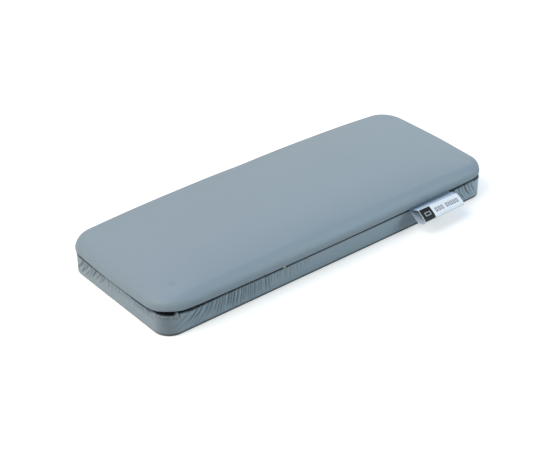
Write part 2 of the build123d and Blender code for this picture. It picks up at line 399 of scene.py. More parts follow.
def wadding(name):
    n = Nodes(name)
    across = n.mapped((1, 2.2, 1))
    fibres = n.noise(scale=500.0, detail=6.0, rough=0.75, vec=across, distortion=1.5)
    c = n.ramp(fibres, (0.3, (0.78, 0.78, 0.77)), (0.7, (0.93, 0.93, 0.92)))
    n.set(color=c, rough=1.0, spec=0.05, sheen=0.5,
          normal=n.bump(fibres, strength=0.8, distance=0.0008))
    return n.m


def metal(name, colour, rough, streak=(1, 1, 1)):
    """streak stretches the surface marks: the larger scale runs across them."""
    n = Nodes(name)
    marks = n.noise(scale=900.0, detail=4.0, rough=0.6, vec=n.mapped(streak))
    spots = n.noise(scale=160.0, detail=3.0)
    n.set(
        color=n.mix(n.mul(spots, 0.12), colour, scaled(colour, 0.55)),
        metal=1.0,
        rough=n.fit(marks, to=(rough - 0.08, rough + 0.12)),
        normal=n.bump(marks, strength=0.12, distance=0.00005),
    )
    return n.m


def hot_melt(name):
    n = Nodes(name)
    lumps = n.noise(scale=220.0, detail=3.0)
    n.set(
        color=n.mix(lumps, (0.85, 0.83, 0.76), (0.72, 0.69, 0.58)),
        rough=n.fit(lumps, to=(0.28, 0.45)),
        spec=0.5, sub=0.4, sub_scale=0.003,
        normal=n.bump(lumps, strength=0.3, distance=0.0003),
    )
    return n.m


def satin_ribbon(name, crease, fold, middle):
    """Woven ribbon with a dark block, an open ring on it and a row of dashes beside it.
    crease, fold and middle are distances along the ribbon, in mm: the top crease, the
    outermost bend, and the middle of the marks."""
    n = Nodes(name)
    u, v = n.attribute("ribbon_u"), n.attribute("ribbon_v")
    vec = n.new("ShaderNodeCombineXYZ", {0: u, 1: v}).outputs[0]
    warp = n.wave(scale=1.6, direction="X", vec=vec)
    weft = n.wave(scale=2.4, direction="Y", vec=vec)
    weave = n.add(n.mul(warp, 0.6), n.mul(weft, 0.4))
    white = n.mix(n.mul(weave, 0.5), (0.72, 0.75, 0.80), (0.64, 0.68, 0.735))

    def band(x, low, high, soft=0.12):
        rise = n.fit(x, over=(low - soft, low + soft), to=(0.0, 1.0))
        fall = n.fit(x, over=(high - soft, high + soft), to=(1.0, 0.0))
        return n.mul(rise, fall, clamp=True)

    def box(u0, u1, v0, v1, soft=0.12):
        return n.mul(band(u, u0, u1, soft), band(v, v0, v1, soft), clamp=True)

    # painted shade: the ply that comes out of the seam lies in the cushion's shade, the one under the
    # loop in its own, and the inside of the loop is shaded too
    tucked = n.fit(v, over=(crease - 9.0, crease - 0.8), to=(1.0, 0.55))
    tucked = n.mul(tucked, band(v, -50.0, crease - 0.2, soft=0.5))
    white = n.mix(tucked, white, (0.36, 0.49, 0.64))
    under = n.fit(v, over=(fold + 0.5, fold + 3.0), to=(0.0, 1.0))
    white = n.mix(n.mul(under, 0.8), white, (0.52, 0.66, 0.80))
    inside = n.attribute("ribbon_inside")
    white = n.mix(n.mul(inside, 0.9), white, (0.46, 0.57, 0.68))
    outside = n.sub(1.0, inside, clamp=True)

    block = n.mul(n.mul(band(u, 0.35, 12.5), band(v, crease + 0.2, fold - 0.4)), outside)
    col = n.mix(block, white, (0.018, 0.020, 0.024))
    mark = n.sub(
        box(3.6, 10.0, middle - 1.8, middle + 1.8),
        box(4.5, 9.1, middle - 0.95, middle + 0.95),
        clamp=True,
    )
    col = n.mix(n.mul(n.mul(mark, outside), 0.6), col, (0.50, 0.53, 0.56))

    dashes = None
    left = 15.6
    for width in (2.7, 2.5, 2.7, 0.0, 2.4, 1.3, 2.7, 2.5, 2.7):     # 0 is a gap
        if width:
            dash = box(left, left + width, middle - 2.15, middle + 1.95, soft=0.22)
            if width > 2.0:     # the wide ones are hollow
                hollow = box(left + 0.8, left + width - 0.8, middle - 1.3, middle + 1.1, soft=0.2)
                dash = n.sub(dash, n.mul(hollow, 0.75), clamp=True)
            dashes = dash if dashes is None else n.math("MAXIMUM", dashes, dash)
        left += (width or 1.4) + 0.8
    dashes = n.mul(dashes, outside)
    col = n.mix(n.mul(dashes, 0.85), col, (0.10, 0.115, 0.135))
    print_mask = n.math("MAXIMUM", block, dashes)
    n.set(
        color=col,
        rough=n.fit(weave, to=(0.36, 0.5)),
        spec=n.fit(print_mask, to=(0.4, 0.15)),
        sheen=n.fit(print_mask, to=(0.15, 0.0)),
        sheen_rough=0.35, aniso=0.3, sub=0.05, sub_scale=0.001,
        normal=n.bump(weave, strength=0.35, distance=0.00006),
    )
    return n.m


def pale_floor(name):
    """The camera sees a slightly warm, glowing floor. Other rays meet plain light grey."""
    n = Nodes(name)
    seen = n.new("ShaderNodeLightPath").outputs["Is Camera Ray"]
    n.set(
        color=n.mix(seen, (0.80, 0.80, 0.80), (0.665, 0.655, 0.64)),
        rough=0.7, spec=0.05,
        glow=n.mix(seen, (0, 0, 0), (0.985, 0.995, 1.01)),
        glow_strength=0.475,
    )
    return n.m


# painted light: the plinth's copy of the leatherette is made 1.24 times lighter than the cushion's,
# to make up for the painted shade on the plinth
plinth_leather = leatherette("leatherette_plinth", tone=1.24, grain=2.4)
cushion_leather = leatherette(
    "leatherette_cushion", tone=1.0, grain=1.3,
    # painted shade along the cushion's lower edge, over the seam
    seam=(CUSHION_Z0 + 0.5, CUSHION_Z0 + 1.7, 0.85),
    # painted shade in a ring round the dimple
    dimple_shade_ring=(DIMPLE_X, DIMPLE_Y, 1.9, 0.9, 0.17),
)
cad_materials = {
    "plinth_board": fibreboard("fibreboard"),
    "cushion_board": plywood("plywood_birch"),
    "cushion_foam": foam("open_cell_foam"),
    "cushion_wadding": wadding("polyester_wadding"),
    "plinth_staples": metal("galvanised_wire", (0.70, 0.70, 0.68), rough=0.35, streak=(1, 1, 9)),
    "joining_screws": metal("yellow_zinc", (0.78, 0.68, 0.42), rough=0.32),
    "threaded_inserts": metal("clear_zinc", (0.72, 0.73, 0.75), rough=0.30, streak=(1, 1, 12)),
    "adhesive_beads": hot_melt("hot_melt_glue"),
}
cad_materials["cushion_staples"] = cad_materials["plinth_staples"]
for node, material in cad_materials.items():
    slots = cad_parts[node].data.materials
    slots.clear()
    slots.append(material)

# ---------------------------------------------------------------------------- plinth: sheet
PLINTH_R = 14.5                 # corner radius in plan
TURN_R = 1.3                    # radius of the turns at the floor and at the top edge
PITCH = 0.55                    # between columns of the mesh
LONG_RUN = PLINTH_L - 2 * PLINTH_R
SHORT_RUN = PLINTH_W - 2 * PLINTH_R
ARC_RUN = math.pi / 2 * PLINTH_R
plinth_counts = [round(run / PITCH) for run in (LONG_RUN, ARC_RUN, SHORT_RUN)]

# The section from under the edge, up the side and in over the top: inset, z.
under_rows = [(5.0, 0.0), (3.4, 0.0), (2.4, 0.0)]
foot_rows = [
    (TURN_R * (1 - math.cos(t)), TURN_R * (1 + math.sin(t)))
    for t in np.radians(np.linspace(-90, 0, 6))
]
wall_rows = [(0.0, z) for z in np.linspace(TURN_R, PLINTH_H - TURN_R, 24)[1:-1]]
edge_rows = [
    (TURN_R * (1 - math.cos(t)), PLINTH_H - TURN_R * (1 - math.sin(t)))
    for t in np.radians(np.linspace(0, 90, 9))
]
deck_rows = [(d, PLINTH_H) for d in (3.1, 4.0, 5.0, 6.5, 9.0, 14.0, 19.0, 24.0)]
plinth_section = under_rows + foot_rows + wall_rows + edge_rows + deck_rows
WIDEST_ROW = len(under_rows) + len(foot_rows) - 1
EDGE_ROW = WIDEST_ROW + len(wall_rows) + 2      # second row of the turn at the top edge

plinth_rows = []
for inset, z in plinth_section:
    outline, plinth_normals = ring(PLINTH_L, PLINTH_W, PLINTH_R, inset, plinth_counts)
    plinth_rows.append(np.c_[outline, np.full(len(outline), z)])
sheet = np.array(plinth_rows)                   # row, column, xyz
nx, ny = plinth_normals.T
insets = np.array([inset for inset, _ in plinth_section])[:, None]
# these three are views, so they follow every later move of the sheet
sheet_z = sheet[:, :, 2]
outer_x, outer_y = sheet[WIDEST_ROW, :, 0], sheet[WIDEST_ROW, :, 1]

# Distance round the side, from where the near side's straight begins at the left.
outer = sheet[WIDEST_ROW, :, :2]
steps = np.linalg.norm(np.roll(outer, -1, 0) - outer, axis=1)
S = np.concatenate([[0], np.cumsum(steps)[:-1]])
S_TOTAL = steps.sum()
S_RIGHT = LONG_RUN + ARC_RUN                    # start of the right end, and so on round
S_FAR = S_RIGHT + SHORT_RUN + ARC_RUN
S_LEFT = S_FAR + LONG_RUN + ARC_RUN
S_END = S_LEFT + SHORT_RUN
PEAK_S = -2.6                                   # one fold stands up high here
OPEN_S = -11                                    # middle of the open near left corner


def from_s(place):
    """Signed distance of each column from a place, the short way round."""
    return (S - place + S_TOTAL / 2) % S_TOTAL - S_TOTAL / 2


# The sheet is pulled round each corner and stapled on top, so its fullness gathers in folds
# that start at the top edge and sweep down towards the corner. Columns: end of the corner's
# arc, way to the corner (-1 is towards smaller s), nearest and furthest fold from it, number
# of folds, sweep over SWEEP_DROP at nearest and furthest, height, width, reach down, seed.
SWEEP_DROP = 15.0
FOLD_GROUPS = [
    # near side, beside the near left corner: the strongest group, with finer creases between
    (0.0, -1, 9, 40, 9, (34.0, 2.6), 0.90, 0.95, 18.0, 41),
    (0.0, -1, 41, 84, 13, (3.0, -1.2), 0.72, 0.80, 18.5, 42),
    (0.0, -1, 8, 42, 14, (30.0, 3.0), 0.60, 0.55, 16.0, 51),
    (0.0, -1, 43, 86, 15, (3.0, -1.6), 0.46, 0.55, 15.0, 57),
    (0.0, -1, 86, 126, 10, (1.0, -0.6), 0.34, 1.0, 12.0, 43),
    # near side, beside the near right corner
    (LONG_RUN, 1, 1, 36, 11, (8.0, 14.0), 0.75, 0.85, 17.0, 44),
    (LONG_RUN, 1, 2, 34, 12, (9.0, 9.0), 0.45, 0.60, 14.0, 52),
    # right end
    (S_RIGHT, -1, 2, 36, 12, (9.0, 14.0), 0.70, 0.85, 16.0, 45),
    (S_RIGHT, -1, 2, 36, 12, (8.0, 12.0), 0.42, 0.60, 13.0, 59),
    (S_RIGHT + SHORT_RUN, 1, 2, 36, 12, (9.0, 14.0), 0.70, 0.85, 16.0, 46),
    (S_RIGHT + SHORT_RUN, 1, 2, 36, 12, (8.0, 12.0), 0.42, 0.60, 13.0, 60),
    # far side
    (S_FAR, -1, 8, 56, 12, (26.0, 1.5), 0.75, 1.25, 16.5, 47),
    (S_FAR, -1, 10, 50, 14, (12.0, 1.5), 0.35, 0.80, 12.0, 53),
    (S_FAR + LONG_RUN, 1, 8, 56, 12, (26.0, 1.5), 0.75, 1.25, 16.5, 48),
    (S_FAR + LONG_RUN, 1, 10, 50, 14, (12.0, 1.5), 0.35, 0.80, 12.0, 54),
    # left end, beside the far left corner and then the near left one
    (S_LEFT, -1, 1, 36, 12, (9.0, 14.0), 0.80, 0.85, 17.0, 49),
    (S_LEFT, -1, 2, 36, 14, (8.0, 12.0), 0.45, 0.60, 14.0, 55),
    (S_LEFT, -1, 38, 74, 8, (3.0, 2.0), 0.26, 1.0, 11.0, 58),
    (S_END, 1, 3, 34, 8, (8.0, 26.0), 0.60, 0.85, 13.0, 50),
]
# short fine teeth over the arcs themselves
FOLD_GROUPS += [
    (arc_end, 1, -1, ARC_RUN + 1, 13, (1.0, 1.0), 0.34, 0.60, 4.6, seed)
    for arc_end, seed in ((0.0, 61), (S_RIGHT, 62), (S_FAR, 63), (S_LEFT, 64))
]


def scatter_folds():
    """Each fold's place, way, sweep, width, height and reach, varied within its group."""
    for corner, way, near, far, count, (first, last), height, width, reach, seed in FOLD_GROUPS:
        r = np.random.default_rng(seed)
        for k in range(count):
            f = (k + 0.5 + r.uniform(-0.32, 0.32)) / count
            same_sign = first * last > 0
            sweep = first * (last / first) ** f if same_sign else first + (last - first) * f
            fold_height = height * r.uniform(0.55, 1.3) * (1 - 0.35 * f)
            yield (corner - way * (near + (far - near) * f), way, sweep * r.uniform(0.85, 1.15),
                   width * r.uniform(0.75, 1.3), fold_height, reach * r.uniform(0.6, 1.1))


def fold_relief():
    """How far the sheet stands out along its normal, for every row and column."""
    drop = PLINTH_H - sheet_z
    in_turn = sheet_z > PLINTH_H - TURN_R
    drop = np.maximum(np.where(in_turn, drop - 0.5 * np.minimum(insets, TURN_R), drop), 0.0)
    relief = np.zeros_like(sheet_z)
    for place, way, sweep, width, height, reach in scatter_folds():
        # each fold curves away with the drop, and has a ridge with a valley beside it
        centre = place + way * sweep * (drop / SWEEP_DROP) ** 1.3
        slope = 1.3 * sweep / SWEEP_DROP * (drop / SWEEP_DROP) ** 0.3
        across = from_s(centre) / np.sqrt(1 + slope**2)
        ridge = np.exp(-((np.abs(across) / width) ** 1.6))
        valley = bell(across + way * 1.45 * width, 0.8 * width)
        along = drop * np.sqrt(1 + 0.15 * slope**2)
        fade = 1 - smooth(reach * 0.5, reach, along)
        relief += 1.3 * height * (ridge - 0.5 * valley) * fade
    limit = np.where(relief > 0, 1.0, 0.6)
    relief = limit * np.tanh(relief / limit)
    above_floor = smooth(0.3, 2.6, sheet_z)
    unevenness = 0.05 * wander(S * 0.12 + sheet_z * 0.05, 5)
    return (relief * above_floor * (1 - smooth(1.6, 4.2, insets))
            + unevenness * above_floor * (1 - smooth(0.2, 1.5, insets)))


relief = fold_relief()
sheet[:, :, :2] += plinth_normals * relief[:, :, None]

# Where the folds pass over the edge they also stand up into the seam. The label's tails
# press them flat where they are clamped.
at_top = sheet_z > PLINTH_H - TURN_R
over_edge = smooth(0.5, TURN_R, insets) * (1 - smooth(3.5, 6.5, insets)) * at_top
past_left = smooth(LABEL_X0 - 5, LABEL_X0 - 1.5, outer_x)
before_right = 1 - smooth(LABEL_X1 + 1.5, LABEL_X1 + 5, outer_x)
over_edge = over_edge * (1 - (ny < -0.5) * past_left * before_right)
sheet_z += over_edge * np.clip(relief[EDGE_ROW] * 0.9, -0.35, 0.42)
# one fold reaches the cushion's corner
peak_rows = smooth(0.3, 1.6, insets) * (1 - smooth(3.0, 5.0, insets)) * at_top
sheet_z += 2.3 * bell(from_s(PEAK_S), 1.4) * peak_rows


# ---------------------------------------------------------------------------- plinth: shading
def seam_shading():
    """Shade under the cushion's overhang."""
    over_long = 1.2 + 3.1 * arch((outer_x - CROWN_X) / (PLINTH_L / 2))
    over_end = 1.2 + 4.0 * arch(outer_y / (PLINTH_W / 2))
    leftness = np.clip(-nx, 0, 1)
    # height where the shade ends: by side, then at the right, the left and the near side
    z_none = PLINTH_H - (1.40 + 0.12 * over_long) * ny**2 - (0.95 + 0.32 * over_end) * nx**2
    z_none = z_none + 0.75 * smooth(PLINTH_L / 2 - 45, PLINTH_L / 2 - 15, outer_x)
    z_none = z_none + 0.3 * leftness
    near_left = (1 - smooth(50, 100, S)) * (0.45 + 0.55 * smooth(15, 50, S))
    z_none = z_none + (0.35 + 0.55 * near_left) * (S < LONG_RUN)
    right = smooth(PLINTH_L / 2 - 45, PLINTH_L / 2 - 25, outer_x)
    shade = smooth(0, 0.85, sheet_z - z_none) * (0.98 - 0.18 * leftness - 0.15 * right)
    # the near left corner stands open, so its top edge catches the light and only the top
    # face is in shade
    is_open = 1 - smooth(11, 19, np.abs(from_s(OPEN_S)))
    top_face = 0.97 * smooth(0.75, 1.5, insets) * (sheet_z > PLINTH_H / 2)
    shade = shade * (1 - is_open) + is_open * top_face
    return shade * (1 - 0.95 * bell(from_s(PEAK_S), 1.5))


def floor_shading():
    """Shade along the floor, with a strength for each side."""
    near, far = 0.93 * np.clip(-ny, 0, 1), 0.5 * np.clip(ny, 0, 1)
    left, right = 0.12 * np.clip(-nx, 0, 1), 0.5 * np.clip(nx, 0, 1)
    return np.clip(near + left + right + far, 0, 0.93) * (1 - smooth(1.6, 2.8, sheet_z))


def fold_shading():
    """Shade where the sheet lies below its own running mean round the side."""
    reach = 12                                  # columns each way
    kernel = bell(np.arange(-reach, reach + 1) * PITCH, 2.0)
    kernel /= kernel.sum()
    wrapped = [np.concatenate([row[-reach:], row, row[:reach]]) for row in relief]
    mean = np.array([np.convolve(row, kernel, "valid") for row in wrapped])
    return np.clip((mean - relief) / 0.32, 0, 1) * 0.60 * smooth(0.3, 2.0, sheet_z)


def plinth_painted_shade():
    """All the painted shade together, the folds and the near left corner weaker towards the right."""
    # painted shade: the near left corner and the near side darker, as they turn away from the light
    near_corner = 0.30 * bell(from_s(-ARC_RUN / 2), 10) + 0.13 * np.clip(-ny, 0, 1)
    right = smooth(PLINTH_L / 2 - 60, PLINTH_L / 2 - 20, outer_x)
    light = (1 - seam_shading()) * (1 - floor_shading())
    light = light * (1 - fold_shading() * (1 - 0.3 * right))
    return 1 - light * (1 - near_corner * (1 - right))


# ---------------------------------------------------------------------------- plinth: object
HOLE_RADII = {"threaded_inserts": 4.5, "joining_screws": 4.3}
HOLE_SIDES = 40


def fixing_holes():
    """x, y and radius of a hole round each insert and screw."""
    holes = []
    for node, radius in HOLE_RADII.items():
        co = np.array([v.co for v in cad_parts[node].data.vertices]) * 1000
        groups = []     # the lowest points, gathered into one group for each fixing
        for p in co[co[:, 2] < co[:, 2].min() + 0.5]:
            for group in groups:
                if np.hypot(*(p[:2] - np.mean(group, 0)[:2])) < 9:
                    group.append(p)
                    break
            else:
                groups.append([p])
        for group in groups:
            x, y = ((min(values) + max(values)) / 2 for values in np.array(group).T[:2])
            holes.append((x, y, radius))
    return holes


def underside_plate(edge, first_new):
    """Fills the innermost ring under the plinth with a flat plate pierced by the holes.
    Returns the new vertices, numbered from first_new, and the faces."""
    holes = fixing_holes()
    n_edge = len(edge)
    points = [Vector((p[0], p[1])) for p in edge]
    edges = [(i, (i + 1) % n_edge) for i in range(n_edge)]
    for x, y, r in holes:
        first = len(points)
        for k in range(HOLE_SIDES):
            t = 2 * math.pi * k / HOLE_SIDES
            points.append(Vector((x + r * math.cos(t), y + r * math.sin(t))))
            edges.append((first + k, first + (k + 1) % HOLE_SIDES))
    spots, _, triangles, origins = delaunay_2d_cdt(points, edges, [], 1, 1e-5)[:4]
    index, new = {}, []
    for i, spot in enumerate(spots):
        on_edge = [k for k in origins[i] if k < n_edge]
        if on_edge:
            index[i] = on_edge[0]
        else:
            index[i] = first_new + len(new)
            new.append((spot.x, spot.y, 0.0))
    faces = []
    for f in triangles:
        centre = np.mean([(spots[i].x, spots[i].y) for i in f], axis=0)
        in_hole = [math.hypot(centre[0] - x, centre[1] - y) < r * 0.97 for x, y, r in holes]
        if not any(in_hole):
            faces.append([index[i] for i in f][::-1])
    return np.array(new), faces


def build_plinth():
    verts = sheet.reshape(-1, 3)
    plate_verts, plate_faces = underside_plate(sheet[0], len(verts))
    faces = strip_faces(len(sheet), len(S)) + plate_faces
    o = make_object("plinth_upholstery", np.concatenate([verts, plate_verts]), faces)
    # painted shade on the mesh: under the overhang, along the floor, in the folds' valleys and at the
    # near corner; half strength over the flat underside
    plate_shade = np.full(len(plate_verts), 0.5)
    add_attribute(o, "painted_shade", np.concatenate([plinth_painted_shade().ravel(), plate_shade]))
    face_outwards(o, axis=0, sign=-1)
    thicken(o, SKIN)
    # the flat underside stays flat shaded
    is_smooth = [not (abs(p.normal.z) > 0.999 and p.center.z < 0.0013) for p in o.data.polygons]
    o.data.polygons.foreach_set("use_smooth", is_smooth)
    o.data.materials.append(plinth_leather)
    return o


plinth = build_plinth()

# ---------------------------------------------------------------------------- cushion: form
# Plan: a rounded rectangle whose sides bow out. Section: a soft round below, a shoulder and a
# shallow crown.
END_BOW, SIDE_BOW = 2.74, 3.15
BODY_L = CUSHION_L - 2 * END_BOW                # the plan before it bows
BODY_W = CUSHION_W - 2 * SIDE_BOW - 0.1
CUSHION_R = 20.0
TOP_Z = CUSHION_Z1 + 0.7
ACROSS, ALONG = 4.9, 2.4                        # fall of the crown to a long side and to an end
SHOULDER, SHOULDER_IN = 8.0, 9.4                # height and depth of the shoulder
UNDER_R = 6.2                                   # depth of the round below
CUSHION_STEP = 3.2
cushion_counts = (
    round((BODY_L - 2 * CUSHION_R) / CUSHION_STEP),
    2 * round(math.pi / 4 * CUSHION_R / CUSHION_STEP),
    round((BODY_W - 2 * CUSHION_R) / CUSHION_STEP),
)


def bow(x):
    return arch((x - CROWN_X) / (BODY_L / 2))


def dome(x, y):
    """Pillow-like crown: the long edges rise towards the middle, the ends stay straight."""
    v = np.clip(np.abs(y) / (CUSHION_W / 2), 0, 1.02)
    u = np.clip(np.abs(x - CROWN_X) / (BODY_L / 2), 0, 1)
    return TOP_Z - ACROSS - ALONG * (1 - bow(x)) + ACROSS * (1 - v**3.3) * (1 - u**4)


def lift(x, y):
    """Rise of the lower edge: the near left corner stands off the plinth, the near right one
    much less, and the ends turn under more roundly."""
    corner = 3.1 * hump(x, y, -171, -66, 18, 13) + 0.25 * hump(x, y, 171, -66, 26, 20)
    end = smooth(160.0, 171.0, np.abs(x)) * (1 - smooth(50, 72, np.abs(y)))
    return np.maximum(corner, np.where(x < 0, 1.3, 0.5) * end)


# The section from underneath, round the side and in over the top: part, inset, and for the
# low part the height as a share of the way to the shoulder.
cushion_section = [("under", d, 0.0) for d in (27.0, 22.0, 17.0, 13.0, 10.5, 8.2)]
cushion_section += [
    ("low", UNDER_R * (1 - math.cos(t)), 1 + math.sin(t))
    for t in np.radians(np.linspace(-90, 0, 9))
]
cushion_section += [
    ("top", SHOULDER_IN * (1 - math.cos(t)), 0.0) for t in np.radians(np.linspace(0, 90, 11))[1:]
]
cushion_section += [("top", d, 0.0) for d in (12.5, *np.linspace(SHOULDER_IN, 52.0, 14)[1:])]
PADDED_ROW = 16                                 # the padding starts at this row


def cushion_row(part, inset, share):
    p, normals = ring(BODY_L, BODY_W, CUSHION_R, inset, cushion_counts)
    nx, ny = normals.T
    fade = 1 - smooth(0, 50, inset)
    u = np.clip(p[:, 1] / (BODY_W / 2), -1, 1)
    facing_end = np.sign(nx) * np.abs(nx) ** 6
    x = p[:, 0] + facing_end * END_BOW * (1 - u**2) * fade
    y = p[:, 1] + np.sign(ny) * np.abs(ny) ** 6 * SIDE_BOW * bow(p[:, 0]) * fade
    if part == "under":
        z = np.full(len(p), CUSHION_Z0)
    elif part == "low":
        edge_y = np.minimum(np.abs(y) + inset, CUSHION_W / 2)
        edge = dome(p[:, 0] + nx * inset, edge_y) - SHOULDER
        # the ends turn under more roundly, and the right-hand corners are squarer below
        x = x - facing_end * 1.5 * (1 - share) * (1 - u**4)
        tuck = 0.42 * inset * 4 * nx**2 * ny**2 * (p[:, 0] > 0)
        x, y = x + nx * tuck, y + ny * tuck
        z = CUSHION_Z0 + (edge - CUSHION_Z0) * share
        z = z + lift(x, y) * (1 - 0.6 * share) * (1 - 0.8 * smooth(2.5, UNDER_R, inset))
    else:
        k = np.clip((SHOULDER_IN - inset) / SHOULDER_IN, 0, 1)
        z = dome(x, y) - SHOULDER + SHOULDER * math.sqrt(1 - k * k)
        on_end = np.abs(nx) > 0.98
        z = z + lift(x, y) * 0.4 * (1 - smooth(0, SHOULDER, inset)) * (1 - 0.7 * on_end)
    return np.c_[x, y, z]


def crown_patch(last_ring, first_index, first_new):
    """A grid that fills the last ring, its corners at the middles of the ring's corners.
    first_index is the ring's first vertex, first_new the number of the first new one."""
    n_long, n_arc, n_short = cushion_counts
    n_cols = len(last_ring)
    start = n_cols - n_arc // 2
    long_run, short_run = n_long + n_arc, n_short + n_arc

    def run(first, count):
        return np.array([(first + k) % n_cols for k in range(count + 1)])

    near = run(start, long_run)
    right = run(start + long_run, short_run)
    far = run(start + long_run + short_run, long_run)[::-1]
    left = run(start + 2 * long_run + short_run, short_run)[::-1]
    nu, nv = len(near), len(right)
    grid = np.zeros((nv, nu), int)
    grid[0], grid[-1] = first_index + near, first_index + far
    grid[:, 0], grid[:, -1] = first_index + left, first_index + right
    p_near, p_right, p_far, p_left = (last_ring[side] for side in (near, right, far, left))
    new = []
    for j in range(1, nv - 1):
        v = j / (nv - 1)
        for i in range(1, nu - 1):
            u = i / (nu - 1)
            p = (1 - v) * p_near[i] + v * p_far[i] + (1 - u) * p_left[j] + u * p_right[j]
            p = p - ((1 - u) * (1 - v) * p_near[0] + u * (1 - v) * p_near[-1]
                     + (1 - u) * v * p_far[0] + u * v * p_far[-1])
            p[2] = dome(p[0], p[1])
            grid[j, i] = first_new + len(new)
            new.append(p)
    faces = [
        (grid[j, i], grid[j, i + 1], grid[j + 1, i + 1], grid[j + 1, i])
        for j in range(nv - 1) for i in range(nu - 1)
    ]
    return np.array(new), faces


def build_cushion():
    rows = [cushion_row(*row) for row in cushion_section]
    n_cols = len(rows[0])
    verts = np.concatenate(rows)
    new, patch_faces = crown_patch(rows[-1], (len(rows) - 1) * n_cols, len(verts))
    verts = np.concatenate([verts, new])
    faces = strip_faces(len(rows), n_cols) + patch_faces
    o = make_object("cushion_upholstery", verts, faces)
    # which row of the section each vertex belongs to
    add_attribute(o, "section_row", [min(i // n_cols, len(rows)) for i in range(len(verts))])
    face_outwards(o, axis=2, sign=1)
    return o


# ---------------------------------------------------------------------------- cushion: cloth
CLOTH = {
    "quality": 6,
    "mass": 0.4,
    "tension_stiffness": 40,
    "compression_stiffness": 40,
    "shear_stiffness": 15,
    "bending_stiffness": 2.0,
    "vertex_group_mass": "held",
    "pin_stiffness": 10,
    "use_pressure": True,
    "uniform_pressure_force": 2.0,
}
CLOTH_FRAMES = 20
CLOTH_CAP = 0.8                                 # the furthest the sheet may move
CLOTH_SMOOTHING = 14                            # passes


def puff(o):
    """Lets the sheet find its own tension over the padding: pinned under the board, pushed
    out from inside. The movement is evened out and capped."""
    rest = coords(o)
    group = o.vertex_groups.new(name="held")
    weights = 1 - smooth(CUSHION_Z0 + 0.6, CUSHION_Z0 + 4.0, rest[:, 2])
    for i, weight in enumerate(weights):
        if weight > 0:
            group.add([i], float(weight), "REPLACE")
    m = o.modifiers.new("cloth", "CLOTH")
    for key, value in CLOTH.items():
        setattr(m.settings, key, value)
    m.settings.effector_weights.gravity = 0
    m.collision_settings.use_collision = False
    m.point_cache.frame_start, m.point_cache.frame_end = 1, CLOTH_FRAMES
    scene = bpy.context.scene
    scene.frame_start, scene.frame_end = 1, CLOTH_FRAMES
    for f in range(1, CLOTH_FRAMES + 1):
        scene.frame_set(f)
    dg = bpy.context.evaluated_depsgraph_get()
    move = read_vertices(o.evaluated_get(dg).data, "co") * 1000 - rest
    o.modifiers.clear()
    scene.frame_set(1)
    a, b = np.array([e.vertices[:] for e in o.data.edges]).T
    neighbours = np.maximum(np.bincount(np.r_[a, b], minlength=len(move)), 1)[:, None]
    for _ in range(CLOTH_SMOOTHING):
        total = np.zeros_like(move)
        np.add.at(total, a, move[b])
        np.add.at(total, b, move[a])
        move = 0.5 * move + 0.5 * total / neighbours
    furthest = float(np.linalg.norm(move, axis=1).max())
    move *= min(1.0, CLOTH_CAP / max(furthest, 1e-9))
    set_coords(o, rest + move)


def detail_cushion(o):
    """Small dimple in the top, the faint unevenness of foam under a thin sheet, soft pulls
    along the seam, and the painted shade on the mesh."""
    co, normals = coords(o), vertex_normals(o)
    x, y, z = co.T
    top = smooth(0.55, 0.95, normals[:, 2])
    z = z - 0.95 * top * hump(x, y, DIMPLE_X, DIMPLE_Y, 2.3, 2.3)
    waves = np.sin(x / 23 + 1.0) * np.cos(y / 19 + 0.4) + 0.6 * np.sin(x / 11.5 + y / 15)
    z = z + 0.09 * top * waves
    side = 1 - smooth(0.1, 0.6, np.abs(normals[:, 2]))
    on_long_side = np.abs(normals[:, 1]) > np.abs(normals[:, 0])
    along = np.where(on_long_side, x, y + 400)      # the offset keeps the ends different
    pull = 0.16 * wander(along * 0.19, 9) * side
    set_coords(o, np.c_[x, y, z] + normals * pull[:, None])

    # painted shade: the near side darkens where it turns away from the light towards the seam
    low = 1 - smooth(CUSHION_Z0 + 3, CUSHION_Z0 + 13, z)
    shade = 0.20 * np.clip(-normals[:, 1], 0, 1) * low * (1 - smooth(-150, -172, x))
    # painted shade: the top darkens towards the near edge
    shade = shade + 0.05 * top * smooth(-12, -62, y) * smooth(-160, -110, x)
    add_attribute(o, "painted_shade", shade)


cushion = build_cushion()
puff(cushion)
subdivision = cushion.modifiers.new("round", "SUBSURF")
subdivision.levels = subdivision.render_levels = 1
apply_modifiers(cushion)
detail_cushion(cushion)


# ---------------------------------------------------------------------------- cushion: padding
def inner_copy(o, name, depth):
    """The part of the sheet from the padded row up, moved depth in along its normals."""
    row = np.zeros(len(o.data.vertices), np.float32)
    o.data.attributes["section_row"].data.foreach_get("value", row)
    kept = row > PADDED_ROW - 0.01
    index = np.cumsum(kept) - 1
    faces = [
        [index[i] for i in p.vertices]
        for p in o.data.polygons if all(kept[i] for i in p.vertices)
    ]
    return make_object(name, (coords(o) - vertex_normals(o) * depth)[kept], faces)


def extrude(bm, edges):
    """The new vertices and edges."""
    geom = bmesh.ops.extrude_edge_only(bm, edges=edges)["geom"]
    return [[g for g in geom if isinstance(g, kind)]
            for kind in (bmesh.types.BMVert, bmesh.types.BMEdge)]


BOARD_GAP = 0.15                                # between the foam and the board
HOLLOW_R = 20.0 + BOARD_GAP
HOLLOW_X, HOLLOW_Y = ((board_hi - board_lo) / 2 + BOARD_GAP)[:2]


def onto_hollow(x, y):
    """The nearest place on the outline of the hollow for the board."""
    core_x, core_y = HOLLOW_X - HOLLOW_R, HOLLOW_Y - HOLLOW_R
    past_x, past_y = abs(x) - core_x, abs(y) - core_y
    if past_x > 0 and past_y > 0:
        k = math.hypot(past_x, past_y)
        return (math.copysign(core_x + past_x / k * HOLLOW_R, x),
                math.copysign(core_y + past_y / k * HOLLOW_R, y))
    if past_x > past_y:
        return math.copysign(HOLLOW_X, x), y
    return x, math.copysign(HOLLOW_Y, y)


